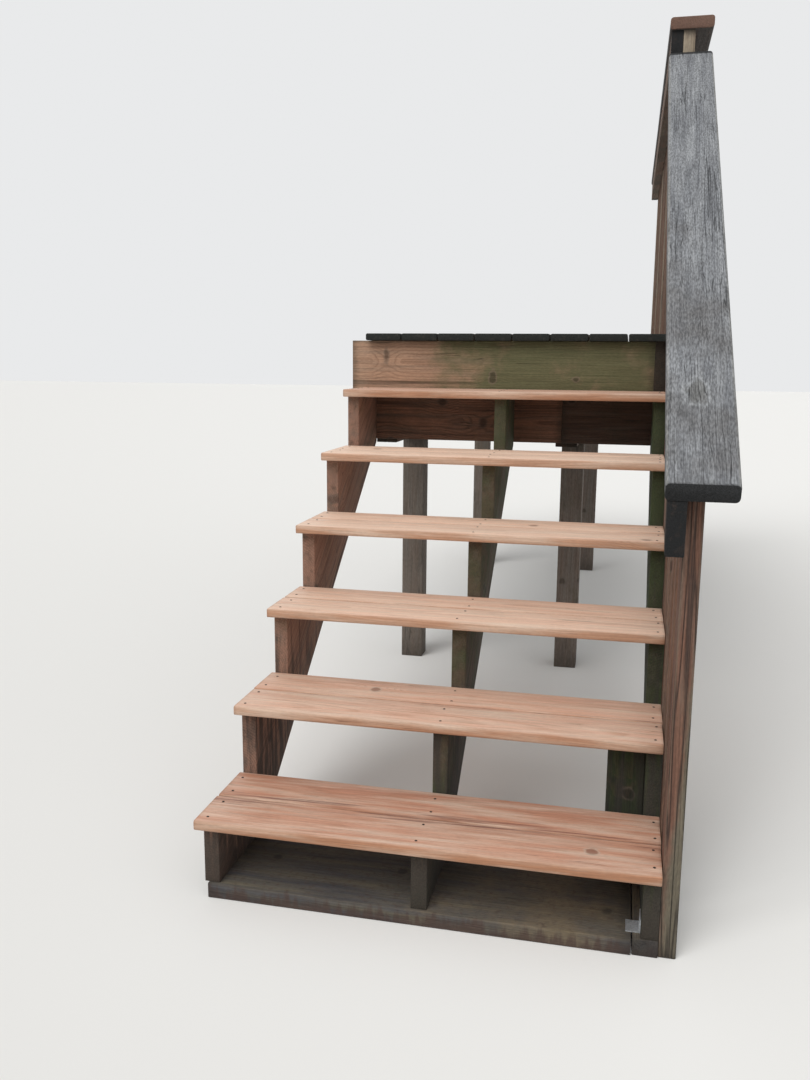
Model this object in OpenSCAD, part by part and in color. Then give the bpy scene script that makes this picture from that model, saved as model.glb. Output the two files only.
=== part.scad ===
// Wooden deck stairs: an open-riser flight on three notched stringers that climbs
// to a timber landing, with one capped guard of vertical balusters on the outer side.
// Units are millimetres. X runs along the treads, from the wall side to the guard.
// Y runs up the flight and along the landing, and Z is up from level ground.

/* [Lumber] */
// Thickness of framing lumber: stringers, joists, posts, rails and caps
frame_t = 38; // [32:1:45]
// Width of the narrow framing boards: guard posts and guard rails
narrow_w = 89; // [75:1:100]
// Width of the flat boards that cap the guard
cap_w = 140; // [120:1:160]
// Depth of joists, rims, header and beams
joist_d = 184; // [150:1:220]
// Side of the square timber posts
post_w = 89; // [80:1:120]
// Thickness of tread and landing boards
board_t = 25; // [22:1:32]
// Radius of the eased edges on tread and landing boards
board_ease = 5; // [2:0.5:8]
// Bevel on the long edges of framing lumber
frame_bevel = 2.5; // [1:0.5:5]
// Radius of the rounded edges on the guard caps
cap_ease = 9; // [2:0.5:13]

/* [Flight] */
// Height of the first tread above the ground
first_rise = 210; // [190:1:230]
// Height from one tread to the next
rise = 191; // [175:1:200]
// Distance from one nosing to the next
run = 247; // [240:1:262]
// Length of a tread, from the wall side to the guard
tread_len = 1058; // [950:1:1250]
// Width of one tread board
tread_board_w = 140; // [136:1:144]
// Gap between the two boards of a tread
tread_gap = 3; // [2:1:6]
// Gap behind each tread, to the next riser cut
tread_back_gap = 2; // [1:1:4]
// Width of the board that a stringer is cut from
stringer_w = 286; // [260:1:300]
// Overhang of the treads past the stringer on the wall side
tread_side = 8; // [2:1:30]

/* [Foot of the flight] */
// Width of the flat board under the stringers
base_w = 286; // [280:1:320]
// How far the flat board stands out in front of the stringers
base_front = 8; // [0:1:20]
// How far the flat board starts in from the tread ends on the wall side
base_inset = 18; // [0:1:30]
// Width of the foot block under the outer stringer
foot_block_w = 55; // [45:1:90]
// Gap between the flat board and the foot block
foot_gap = 3; // [1:1:10]
// Gap between the flat board and the short post behind it
prop_gap = 10; // [6:1:60]
// Leg of the steel angle at the foot of the outer stringer
angle_leg = 32; // [20:1:40]
// Length of the steel angle
angle_len = 45; // [30:1:60]
// Thickness of the steel angle
angle_t = 2.5; // [2:0.5:4]

/* [Landing] */
// Length of the landing frame, from the header face to the far end
landing_len = 3050; // [2400:10:3600]
// Overhang of the landing boards in front of the header
landing_nose = 38; // [10:1:45]
// How far the landing frame reaches past the tread ends on the wall side
landing_side = 45; // [10:1:60]
// Distance from the tread ends to the first landing board on the wall side
landing_board_start = 13; // [0:1:40]
// Gap between landing boards
landing_gap = 3; // [2:0.5:8]
// Number of landing boards across
landing_boards = 8; // [6:1:10]
// Number of joists between the header and the far joist
joist_count = 6; // [5:1:8]
// Depth of the hanger boards that carry the head of the stringers
hanger_d = 168; // [140:1:184]
// Place of the joint between the two hanger boards
hanger_joint = 716; // [690:1:740]
// Centre of the wall-side row of posts, from the tread ends
wall_row_x = 75; // [60:1:200]
// Centre of the outer row of posts, from the tread ends
outer_row_x = 731; // [700:1:760]
// Distance from the header face to the near posts
near_post_y = 500; // [300:10:700]
// Distance from the near posts to the far posts
post_pitch_y = 1960; // [1400:10:2400]

/* [Guard] */
// Height of the lower end of the stair cap above the line of the nosings
stair_guard_h = 866; // [820:1:960]
// Height of the landing cap above the landing boards
landing_guard_h = 1019; // [920:1:1100]
// Height of the stair cap's upper end above the underside of the landing rail
guard_meet = 20; // [0:1:45]
// Distance from the header face to the first guard post of the landing
guard_start = 103; // [40:1:140]
// How far the stair cap runs out in front of the first nosing
cap_fore = 44; // [0:1:120]
// Angle of the stair cap's lower end cut, back from plumb
cap_cut = 18; // [0:1:30]
// How far the stair rail stops short of the lower end of its cap
rail_short = 14; // [5:1:40]
// Setback of the newel from the front of the stringer
newel_back = 0; // [0:1:60]
// Overhang of the caps on the inner side of the rails
cap_inner = 6; // [0:1:30]
// Overhang of the landing cap past its end posts
cap_end = 12; // [0:1:40]
// Gap between the upper end of the stair cap and the first landing post
cap_gap = 3; // [1:1:10]
// Side of the square balusters
baluster_w = 38; // [32:1:42]
// Number of balusters on the flight
flight_balusters = 11; // [9:1:12]
// Number of balusters in each bay of the landing guard
bay_balusters = 6; // [5:1:7]
// Distance from the lower edge of the stringer to the foot of a baluster
baluster_foot = 30; // [10:1:60]

/* [Hidden] */
steps = 6;
bays = 3;
edge_fn = 24;

// Derived sizes of the flight
slope = rise / run;
slope_deg = atan(slope);
tread_depth = 2 * tread_board_w + tread_gap;
nosing = tread_depth + tread_back_gap - run;
stringer_drop = stringer_w / cos(slope_deg);
stringer_x = [tread_side, (tread_len - frame_t) / 2, tread_len - frame_t];
header_y = nosing + steps * run;
landing_z = first_rise + steps * rise;
frame_top = landing_z - board_t;
frame_low = frame_top - joist_d;
beam_low = frame_low - joist_d;
far_y = header_y + landing_len;
heel_y = nosing + (frame_t - first_rise + board_t + stringer_drop) / slope;

// Derived places of the guard: rails stand over the outer stringer, and posts and
// balusters are fastened to the outer faces of the stringer, rim and rails
guard_x = tread_len;
rail_x = guard_x - frame_t;
cap_x = rail_x - cap_inner;
landing_cap_z = landing_z + landing_guard_h;
rail_top = landing_cap_z - frame_t;
rail_low = rail_top - narrow_w;
newel_y = nosing + newel_back;
post_y = header_y + guard_start;
bay_pitch = (far_y - narrow_w - post_y) / bays;

// The stair cap climbs from its lower end to the first guard post of the landing
cap_low_z = first_rise - slope * cap_fore + stair_guard_h;
cap_top_y = post_y - cap_gap;
guard_slope = (rail_low + guard_meet - cap_low_z) / (cap_top_y + cap_fore);
guard_deg = atan(guard_slope);
cap_drop = frame_t / cos(guard_deg);
rail_drop = narrow_w / cos(guard_deg);

// Centre of the footprint, which stands at the origin
mid_x = (cap_x + cap_w - landing_side) / 2;
mid_y = (far_y - cap_fore) / 2;

fresh_wood = [0.76, 0.58, 0.46];
old_wood = [0.42, 0.33, 0.26];
grey_wood = [0.50, 0.49, 0.46];
dark_wood = [0.25, 0.22, 0.17];
red_wood = [0.43, 0.29, 0.23];
steel = [0.60, 0.62, 0.63];

// Height of the top and underside of the stair cap and of the lower edge of the
// stringers, at a distance y up the flight
function cap_top_z(y) = cap_low_z + guard_slope * (y + cap_fore);
function cap_under_z(y) = cap_top_z(y) - cap_drop;
function stringer_low_z(y) = first_rise - board_t + slope * (y - nosing) - stringer_drop;

// Everything is laid out from the near wall-side corner of the flight and then
// centred on the origin
module site() {
    translate([-mid_x, -mid_y, 0]) children();
}

// Cross-section of a planed board with rounded edges
module eased(w, h, r) {
    translate([r, 0]) square([w - 2 * r, h]);
    translate([0, r]) square([w, h - 2 * r]);
    for (x = [r, w - r], y = [r, h - r])
        translate([x, y]) circle(r = r, $fn = edge_fn);
}

// Cross-section of framing lumber with bevelled edges
module sawn(w, h) {
    b = frame_bevel;
    polygon([[b, 0], [w - b, 0], [w, b], [w, h - b], [w - b, h], [b, h], [0, h - b], [0, b]]);
}

// A cross-section drawn out along X or along Y
module along_x(l) {
    multmatrix([[0, 0, 1, 0], [1, 0, 0, 0], [0, 1, 0, 0], [0, 0, 0, 1]])
        linear_extrude(l) children();
}

module along_y(l) {
    translate([0, l, 0]) rotate([90, 0, 0]) linear_extrude(l) children();
}

// A profile drawn in Y and Z, extruded along X from x over a thickness
module side_profile(x, t, points) {
    translate([x, 0, 0]) along_x(t) polygon(points);
}

// One tread: two boards side by side across the stringers
module tread(i) {
    color(fresh_wood) site()
        for (k = [0, 1])
            translate([0, (i - 1) * run + k * (tread_board_w + tread_gap),
                       first_rise + (i - 1) * rise - board_t])
                along_x(tread_len) eased(tread_board_w, board_t, board_ease);
}

// A stringer cut from one board: level seats, plumb risers and a plumb head
module stringer(x) {
    seats = [for (i = [0:steps - 1]) each [
        [nosing + i * run, first_rise - board_t + i * rise],
        [nosing + (i + 1) * run, first_rise - board_t + i * rise]
    ]];
    color(dark_wood) site()
        side_profile(x, frame_t, concat(
            [[nosing, frame_t]], seats,
            [[header_y, stringer_low_z(header_y)], [heel_y, frame_t]]));
}

module base_board() {
    color(dark_wood) site()
        translate([base_inset, nosing - base_front, 0])
            along_x(tread_len - base_inset - foot_block_w - foot_gap) sawn(base_w, frame_t);
}

module foot_block() {
    color(dark_wood) site()
        translate([tread_len - foot_block_w, nosing - base_front / 2, 0])
            along_y(base_w) sawn(foot_block_w, frame_t);
}

// Folded steel angle between the foot of the outer stringer and the block
module foot_angle() {
    color(steel) site()
        translate([rail_x, nosing + angle_len / 2, frame_t]) {
            translate([-angle_leg, 0, 0]) cube([angle_leg, angle_len, angle_t]);
            translate([-angle_t, 0, 0]) cube([angle_t, angle_len, angle_leg]);
        }
}

// Square post on the ground beside the outer stringer, up to the second tread
module short_post() {
    color(dark_wood) site()
        translate([rail_x - post_w, nosing - base_front + base_w + prop_gap, 0])
            linear_extrude(first_rise + rise - board_t) sawn(post_w, post_w);
}

// A guard member on the outer face, from a foot with its own rise to the cap's underside
module raked_upright(y, t, w, low, foot_rise) {
    intersection() {
        translate([guard_x, y, low - 1])
            linear_extrude(cap_under_z(y + w) - low + 2) sawn(t, w);
        side_profile(guard_x - 1, t + 2, [
            [y - 1, low - foot_rise / w], [y + w + 1, low + foot_rise + foot_rise / w],
            [y + w + 1, cap_under_z(y + w + 1)], [y - 1, cap_under_z(y - 1)]]);
    }
}

module newel() {
    color(red_wood) site() raked_upright(newel_y, frame_t, narrow_w, 0, 0);
}

// A cross-section drawn out up the slope of the guard, well past both ends of the cap,
// with its underside a plumb distance below the top of the cap
module raked_board(x, below) {
    spare = 150;
    low_y = -cap_fore - spare;
    translate([x, low_y, cap_top_z(low_y) - below]) rotate([guard_deg, 0, 0])
        along_y((cap_top_y - low_y + spare) / cos(guard_deg)) children();
}

// Rail on edge under the stair cap, cut plumb at both ends. It laps the first landing
// post, up to where its top meets the landing rail
module stair_rail() {
    start = rail_short - cap_fore;
    finish = post_y + min(narrow_w, (rail_low - cap_under_z(post_y)) / guard_slope);
    color(red_wood) site()
        intersection() {
            raked_board(rail_x, rail_drop + cap_drop) sawn(frame_t, narrow_w);
            side_profile(rail_x - 1, frame_t + 2, [
                [start, 0], [finish, 0], [finish, landing_cap_z], [start, landing_cap_z]]);
        }
}

// Flat cap board laid up the flight, its lower end cut back a little from plumb and
// its upper end cut plumb against the first guard post
module stair_cap() {
    reach = 2 * cap_drop;
    color(grey_wood) site()
        intersection() {
            raked_board(cap_x, cap_drop) eased(cap_w, frame_t, cap_ease);
            side_profile(cap_x - 1, cap_w + 2, [
                [-cap_fore - reach * tan(cap_cut), cap_low_z + reach],
                [-cap_fore + reach * tan(cap_cut), cap_low_z - reach],
                [cap_top_y, cap_top_z(cap_top_y) - reach],
                [cap_top_y, cap_top_z(cap_top_y) + reach]]);
        }
}

// Balusters on the outer face of the stringer, or of the rim past the header
module stair_balusters() {
    from = newel_y + narrow_w;
    gap = (post_y - from - flight_balusters * baluster_w) / (flight_balusters + 1);
    color(red_wood) site()
        for (i = [0:flight_balusters - 1]) {
            y = from + gap + i * (baluster_w + gap);
            on_rim = y + baluster_w / 2 > header_y;
            seat = on_rim ? frame_low : max(frame_t, stringer_low_z(y));
            raked_upright(y, baluster_w, baluster_w, seat + baluster_foot,
                on_rim ? 0 : slope * baluster_w);
        }
}

module header() {
    color(old_wood) site()
        translate([-landing_side, header_y, frame_low])
            along_x(rail_x + landing_side) sawn(frame_t, joist_d);
}

// Boards below the header that take the plumb heads of the stringers
module hanger(x0, x1) {
    color(dark_wood) site()
        translate([x0, header_y, frame_low - hanger_d])
            along_x(x1 - x0) sawn(frame_t, hanger_d);
}

module rim(x, y0, y1) {
    color(dark_wood) site()
        translate([x, y0, frame_low]) along_y(y1 - y0) sawn(frame_t, joist_d);
}

module far_joist() {
    color(dark_wood) site()
        translate([-landing_side, far_y - frame_t, frame_low])
            along_x(rail_x + landing_side) sawn(frame_t, joist_d);
}

module joists() {
    x0 = frame_t - landing_side;
    pitch = (landing_len - frame_t) / (joist_count + 1);
    color(dark_wood) site()
        for (i = [1:joist_count])
            translate([x0, header_y + i * pitch, frame_low])
                along_x(rail_x - x0) sawn(frame_t, joist_d);
}

// Two boards laid together under the joists, along a row of posts
module beam(x) {
    color(dark_wood) site()
        for (side = [-frame_t, 0])
            translate([x + side, header_y + frame_t, beam_low])
                along_y(landing_len - 2 * frame_t) sawn(frame_t, joist_d);
}

module landing_post(x, y) {
    color(old_wood) site()
        translate([x - post_w / 2, y, 0]) linear_extrude(beam_low) sawn(post_w, post_w);
}

module landing_decking() {
    all_gaps = (landing_boards - 1) * landing_gap;
    w = (tread_len - landing_board_start - all_gaps) / landing_boards;
    color(old_wood) site()
        for (i = [0:landing_boards - 1])
            translate([landing_board_start + i * (w + landing_gap),
                       header_y - landing_nose, frame_top])
                along_y(landing_len + landing_nose) eased(w, board_t, board_ease);
}

// Guard posts stand on the outer face of the rim
module guard_post(i) {
    color(red_wood) site()
        translate([guard_x, post_y + i * bay_pitch, frame_low])
            linear_extrude(rail_top - frame_low) sawn(frame_t, narrow_w);
}

module landing_rail() {
    color(red_wood) site()
        translate([rail_x, post_y, rail_low])
            along_y(far_y - post_y) sawn(frame_t, narrow_w);
}

module landing_cap() {
    color(grey_wood) site()
        translate([cap_x, post_y - cap_end, rail_top])
            along_y(far_y - post_y + cap_end) eased(cap_w, frame_t, cap_ease);
}

module landing_balusters(bay) {
    from = post_y + (bay - 1) * bay_pitch + narrow_w;
    gap = (bay_pitch - narrow_w - bay_balusters * baluster_w) / (bay_balusters + 1);
    low = frame_low + baluster_foot;
    color(red_wood) site()
        for (i = [0:bay_balusters - 1])
            translate([guard_x, from + gap + i * (baluster_w + gap), low])
                linear_extrude(rail_top - low) sawn(baluster_w, baluster_w);
}

tread(1);  // tread_1
tread(2);  // tread_2
tread(3);  // tread_3
tread(4);  // tread_4
tread(5);  // tread_5
tread(6);  // tread_6
stringer(stringer_x[0]);  // wall_stringer
stringer(stringer_x[1]);  // middle_stringer
stringer(stringer_x[2]);  // outer_stringer
base_board();
foot_block();
foot_angle();
short_post();
newel();
stair_rail();
stair_cap();
stair_balusters();
header();
hanger(-landing_side, hanger_joint - 1);  // hanger_wall_side
hanger(hanger_joint, tread_len);  // hanger_outer_side
rim(-landing_side, header_y + frame_t, far_y - frame_t);  // wall_rim
rim(rail_x, header_y, far_y);  // outer_rim
far_joist();
joists();
beam(wall_row_x);  // wall_beam
beam(outer_row_x);  // outer_beam
landing_post(wall_row_x, header_y + near_post_y);  // wall_post_near
landing_post(wall_row_x, header_y + near_post_y + post_pitch_y);  // wall_post_far
landing_post(outer_row_x, header_y + near_post_y);  // outer_post_near
landing_post(outer_row_x, header_y + near_post_y + post_pitch_y);  // outer_post_far
landing_decking();
guard_post(0);  // guard_post_1
guard_post(1);  // guard_post_2
guard_post(2);  // guard_post_3
guard_post(3);  // guard_post_4
landing_rail();
landing_cap();
landing_balusters(1);  // landing_balusters_1
landing_balusters(2);  // landing_balusters_2
landing_balusters(3);  // landing_balusters_3
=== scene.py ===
"""Looks of the deck stairs: sawn boards with their own grain, weathering and screws.

Every piece of lumber is a board of its own, cut to the place of its CAD node, and it
carries the coordinates of the log it was sawn from. The wood finishes read those
coordinates, so faces, edges and ends show one and the same growth rings.
"""

import logging
import math
import random
from collections.abc import Callable, Iterable, Sequence
from dataclasses import dataclass, field, replace
from enum import Enum
from functools import cache, partial

import bmesh
import bpy
from mathutils import Matrix, Vector, noise

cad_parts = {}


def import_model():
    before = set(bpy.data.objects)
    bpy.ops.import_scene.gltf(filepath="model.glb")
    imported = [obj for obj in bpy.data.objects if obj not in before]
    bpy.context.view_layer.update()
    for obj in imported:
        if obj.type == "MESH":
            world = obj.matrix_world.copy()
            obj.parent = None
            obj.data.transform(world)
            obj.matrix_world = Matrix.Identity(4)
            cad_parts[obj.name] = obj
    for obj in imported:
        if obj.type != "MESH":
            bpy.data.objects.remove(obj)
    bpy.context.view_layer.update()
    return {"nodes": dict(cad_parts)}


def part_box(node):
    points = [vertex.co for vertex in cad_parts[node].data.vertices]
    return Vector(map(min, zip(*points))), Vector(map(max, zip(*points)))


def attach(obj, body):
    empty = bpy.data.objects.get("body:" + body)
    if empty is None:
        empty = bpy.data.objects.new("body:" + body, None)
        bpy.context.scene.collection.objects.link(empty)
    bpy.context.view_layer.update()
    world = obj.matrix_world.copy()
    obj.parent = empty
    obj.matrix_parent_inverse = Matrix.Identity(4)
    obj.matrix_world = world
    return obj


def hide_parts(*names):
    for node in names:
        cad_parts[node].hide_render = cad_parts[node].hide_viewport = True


log = logging.getLogger("deck_stairs")

MM = 0.001
Pair = tuple[float, float]
Point = tuple[float, float, float]
Line = tuple[Pair, Pair]
Adder = Callable[..., bpy.types.Node]
# What every board tells the wood finishes: its place in the log, its place on the board,
# half its size and the direction of its grain
LAYERS = ("grain", "board", "half", "axis")
# Setting of a range whose ends are eased
SMOOTH = {"interpolation_type": "SMOOTHSTEP"}
# Nearly all of a noise pattern lies between these values
NOISE_LOW, NOISE_HIGH = 0.3, 0.7
# Spacing of the places for a knot, in millimetres, and as shares of it the radius of a
# knot's dark core, of the knot and of the wood that bends round it
KNOT_CELL_MM, KNOT_CORE, KNOT, KNOT_REACH = 165, 0.05, 0.13, 0.55
# How far a knot pushes the growth rings aside and how far they wander, in metres
KNOT_PUSH, RING_WANDER = 0.012, 0.03
# Height of the fibres and depth of the cracks, as multiples of the late wood's height
FIBRE_RELIEF, CRACK_RELIEF = 2.4, -4.0
# Size of a blotch of algae, in millimetres
BLOTCH_MM = 1000 / 7
# Spacing of the rings of points along a board, in metres
RING_STEP = 0.07
# Ranges of a board's place in its log, in metres: along it, aside of its heart and out
# from its heart. The last two are the slant to the grain, across and through the board
LOG, ASIDE, OUT, SLANTS = 60, 0.03, (0.03, 0.07), (0.02, 0.03)
# How often the bow and the chips of a board's faces change, for each metre
BOW, CHIP = 2.2, 30
# Rounding of a board's end, as a share of that of its long edges
END_EASE = 0.32
# Faces that meet at a sharper angle than this, in degrees, keep a crisp edge
SHARP = 40
# Numbers nearer to each other than this are taken as one, in metres
NEAR = 1e-6


class Along(Enum):
    """The direction in which a board's grain runs."""

    TREAD = 0
    FLIGHT = 1
    UPRIGHT = 2


# --- Materials ---------------------------------------------------------------------


def linear(code: str) -> tuple[float, float, float, float]:
    """Turns an sRGB hex colour into linear light.

    Args:
        code: colour written as #rrggbb.

    Returns:
        Red, green, blue and an opacity of one.
    """
    channels = (int(code[i : i + 2], 16) / 255 for i in (1, 3, 5))
    red, green, blue = (
        c / 12.92 if c <= 0.04045 else ((c + 0.055) / 1.055) ** 2.4 for c in channels
    )
    return red, green, blue, 1.0


def add(tree: bpy.types.NodeTree, kind: str, *inputs: object, **settings: object) -> bpy.types.Node:
    """Adds a shader node with its settings and links.

    Args:
        tree: node tree that the node goes into.
        kind: Blender's type name of the node, without its first word, ShaderNode.
        inputs: a value, a socket or a node for each of its first sockets, or one dict with
            these by the name or number of a socket.
        settings: fields of the node, such as its operation.

    Returns:
        The new node.
    """
    node = tree.nodes.new(f"ShaderNode{kind}")
    for name, value in settings.items():
        setattr(node, name, value)
    named = inputs[0] if inputs and isinstance(inputs[0], dict) else dict(enumerate(inputs))
    for key, value in named.items():
        source = value.outputs[0] if isinstance(value, bpy.types.Node) else value
        if isinstance(source, bpy.types.NodeSocket):
            tree.links.new(source, node.inputs[key])
        else:
            node.inputs[key].default_value = source
    return node


def empty_tree(owner: bpy.types.Material | bpy.types.World) -> bpy.types.NodeTree:
    """Empties the node tree of a material or a world.

    Args:
        owner: the material or world.

    Returns:
        Its node tree.
    """
    owner.use_nodes = True
    owner.node_tree.nodes.clear()
    return owner.node_tree


def stretched(
    node: Adder, place: bpy.types.NodeSocket, sizes_mm: Point, detail: float,
    span: Pair | None = None,
) -> bpy.types.Node:
    """Adds a noise pattern whose features have a real size.

    Args:
        node: function that adds a node to the material.
        place: socket with a place, in metres.
        sizes_mm: size of a feature along each direction of the place.
        detail: how many finer octaves are added.
        span: values that the pattern is made to run between, or None.

    Returns:
        The last node of the pattern.
    """
    scale = tuple(1000 / size for size in sizes_mm)
    place = node("VectorMath", place, scale, operation="MULTIPLY")
    noisy = node("TexNoise", {"Vector": place, "Scale": 1.0, "Detail": detail})
    if span is None:
        return noisy
    low, high = span
    return node("MapRange", noisy, NOISE_LOW, NOISE_HIGH, low, high)


def to_object(bm: bmesh.types.BMesh, name: str, material: bpy.types.Material) -> bpy.types.Object:
    """Turns a finished bmesh into an object of the scene.

    Args:
        bm: the bmesh, which is freed.
        name: name of the object and of its mesh.
        material: the object's material.

    Returns:
        The new object.
    """
    mesh = bpy.data.meshes.new(name)
    bm.to_mesh(mesh)
    bm.free()
    mesh.materials.append(material)
    made = bpy.data.objects.new(name, mesh)
    bpy.context.scene.collection.objects.link(made)
    return made


@dataclass(frozen=True)
class WoodFinish:
    """Sawn softwood, from freshly scrubbed to long weathered.

    Growth rings are cylinders round the heart of the log, bent by a slow wander and
    pushed aside by knots, and finer streaks run along the grain.

    Attributes:
        name: the material's name.
        slot: the record's material slot; not used.
        pale: colour of the early wood.
        other: colour of the early wood on boards of the other tone.
        late: colour of the dark late wood in each ring.
        streak: colour of the long mineral streaks.
        knot: colour of knots.
        grey: colour of the weathered skin.
        edge: colour of the worn arrises.
        growth: colour of algae and mould.
        tip: colour of the ends of a board.
        damp: colour of the stain where water stands.
        ring_mm: width of one growth ring.
        contrast: how strongly the late wood shows, from 0 to 1.
        streaking: how strongly the streaks show, from 0 to 1.
        greying: share of weathered skin on sides, from 0 to 1.
        top_greying: extra share of weathered skin on upward faces.
        growing: share of the surface under algae, from 0 to 1.
        growth_from: row-frame point and direction in which algae thickens, or None.
        speck: how far fine weather specks lighten and darken the wood, from 0 to 1.
        tip_reach_mm: how far dark soaking reaches in from a board's ends.
        tip_strength: how strongly the ends are darkened.
        arris_mm: width of the worn arris.
        arris_strength: how strongly the arris shows.
        side: how strongly a board's narrow faces take the colour of the arris.
        under: extra share of the algae colour on faces that look down, as painted shade under
            things.
        tone_growth: extra share of algae on boards of the other tone.
        splash_mm: height to which rain splashes dirt up from the ground.
        knots: share of the places for a knot that hold one.
        seen_knots: knots that the photograph shows: place along and across the board
            from its middle, half length and half width, in metres.
        rim: strength of the paler ring round a knot, from 0 to 2.
        crack: how many drying cracks there are, from 0 to 1.
        crack_mm: spacing of the cracks.
        crack_width: width of a crack, as a share of their spacing.
        roughness: middle roughness of the surface.
        relief_mm: height of the raised grain.
    """

    name: str
    slot: str
    pale: str
    other: str
    late: str
    streak: str
    knot: str
    grey: str
    edge: str
    growth: str
    tip: str
    damp: str = "#4a3129"
    ring_mm: float = 4.0
    contrast: float = 0.5
    streaking: float = 0.5
    greying: float = 0.1
    top_greying: float = 0.1
    growing: float = 0.12
    growth_from: tuple[Point, Point] | None = None
    speck: float = 0.12
    tip_reach_mm: float = 30.0
    tip_strength: float = 0.5
    arris_mm: float = 6.0
    arris_strength: float = 0.4
    side: float = 0.0
    under: float = 0.15
    tone_growth: float = 0.0
    splash_mm: float = 0.0
    knots: float = 0.2
    seen_knots: tuple[tuple[float, float, float, float], ...] = ()
    rim: float = 0.9
    crack: float = 0.35
    crack_mm: float = 9.0
    crack_width: float = 0.02
    roughness: float = 0.86
    relief_mm: float = 0.3

    @cache
    def material(self) -> bpy.types.Material:
        """Builds the material, once.

        Returns:
            The new material, which reads the boards' grain attributes.
        """
        mat = bpy.data.materials.new(self.name)
        node = partial(add, empty_tree(mat))
        grain, board, half, axis = (
            node("Attribute", attribute_name=name).outputs["Vector"] for name in LAYERS
        )
        tone, wet = (
            node("Attribute", attribute_name=name).outputs["Fac"] for name in ("tone", "wet")
        )
        pattern = partial(stretched, node, grain)
        place = node("TexCoord").outputs["Object"]
        facing = node("NewGeometry").outputs["Normal"]
        up = node("SeparateXYZ", facing).outputs["Z"]

        # Distance in from the ends, edges and faces of the board, in metres
        size = node("VectorMath", board, operation="ABSOLUTE")
        inset = node("VectorMath", half, size, operation="SUBTRACT")
        inset = node("SeparateXYZ", inset)

        # Knots go right through a board; only some cells of the pattern hold one
        cell = node(
            "TexVoronoi", {"Vector": grain, "Scale": 1000 / KNOT_CELL_MM}, voronoi_dimensions="2D"
        )
        chosen = node("SeparateXYZ", cell.outputs["Color"])
        empty = node("Math", chosen.outputs["X"], 1.0 - self.knots, operation="LESS_THAN")
        away = node("Math", cell.outputs["Distance"], empty, operation="ADD")
        for x, y, half_length, half_width in self.seen_knots:
            offset = node("VectorMath", board, (x, y, 0.0), operation="SUBTRACT")
            offset = node(
                "VectorMath", offset, (KNOT / half_length, KNOT / half_width, 0.0),
                operation="MULTIPLY",
            )
            offset = node("VectorMath", offset, operation="LENGTH")
            away = node("Math", away, offset.outputs["Value"], operation="MINIMUM")
        # No knot is quite round
        ragged = pattern((30, 18, 18), 2.0, (-0.025, 0.025))
        away = node("Math", away, ragged, operation="ADD")
        knot = node("MapRange", away, KNOT_CORE, KNOT, 1.0, 0.0, **SMOOTH)
        rim = node("Math", knot, 0.5, operation="PINGPONG")
        around = node("MapRange", away, KNOT_CORE, KNOT_REACH, 1.0, 0.0, **SMOOTH)

        # Growth rings round the heart of the log
        wander = pattern((700, 160, 160), 3.0)
        wander = node("VectorMath", wander.outputs["Color"], (0.5, 0.5, 0.5), operation="SUBTRACT")
        wander = node("VectorMath", wander, (0.0, RING_WANDER, RING_WANDER), operation="MULTIPLY")
        heart = node("VectorMath", grain, (0.0, 1.0, 1.0), operation="MULTIPLY")
        heart = node("VectorMath", heart, wander, operation="ADD")
        radius = node("VectorMath", heart, operation="LENGTH").outputs["Value"]
        radius = node("Math", around, KNOT_PUSH, radius, operation="MULTIPLY_ADD")
        ring = node("Math", radius, 1000 / self.ring_mm, operation="MULTIPLY")
        ring = node("Math", ring, operation="FRACT")
        rise = node("MapRange", ring, 0.4, 0.84, **SMOOTH)
        fall = node("MapRange", ring, 0.86, 1.0, 1.0, 0.0, **SMOOTH)
        late = node("Math", rise, fall, operation="MULTIPLY")
        patch = pattern((420, 70, 70), 2.0, (0.35, 1.0))
        late = node("Math", late, patch, operation="MULTIPLY")

        # Fibres are drawn 2.5 mm wide, because real ones are too fine for the render
        fibre = pattern((160, 2.5, 2.5), 3.0)
        streak = pattern((900, 16, 16), 3.0)
        streak = node("MapRange", streak, 0.5, 0.74, **SMOOTH)

        # Drying cracks: thin lines along the grain, in some places only
        line = pattern((37 * self.crack_mm, *[self.crack_mm] * 2), 1.0)
        line = node("Math", line, 0.5, operation="SUBTRACT")
        line = node("Math", line, operation="ABSOLUTE")
        line = node("MapRange", line, 0.0, self.crack_width, 1.0, 0.0)
        where = pattern((260, 34, 34), 1.0)
        where = node("MapRange", where, 0.72 - 0.3 * self.crack, 0.78 - 0.3 * self.crack)
        crack = node("Math", line, where, operation="MULTIPLY")

        # Weathered skin, thickest on faces that look up
        skin = pattern((240, 22, 22), 5.0, (-0.45, 0.45))
        top = node("MapRange", up, 0.3, 0.9, self.greying, self.greying + self.top_greying)
        skin = node("Math", skin, top, operation="ADD", use_clamp=True)

        # Algae in blotches, thicker to one side where the finish says so, and painted shade in the
        # algae colour on faces that look down
        blotch = node(
            "TexNoise",
            {"Vector": place, "Scale": 1000 / BLOTCH_MM, "Detail": 6.0, "Roughness": 0.62},
        )
        shift: object = self.growing
        if self.growth_from is not None:
            origin, direction = self.growth_from
            offset = node("VectorMath", place, origin, operation="SUBTRACT")
            reach = node("VectorMath", offset, direction, operation="DOT_PRODUCT").outputs["Value"]
            shift = node("MapRange", reach, 0.0, 1.0, 0.0, self.growing, **SMOOTH)
        # Faces that look down take more of the algae colour: painted shade under things
        below = node("MapRange", {0: up, 1: -0.3, 2: -0.8, 4: self.under})
        shift = node("Math", shift, below, operation="ADD")
        shift = node("Math", tone, self.tone_growth, shift, operation="MULTIPLY_ADD")
        growth = node("Math", blotch, shift, operation="ADD")
        growth = node("MapRange", growth, 0.62, 1.05, **SMOOTH)

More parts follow.
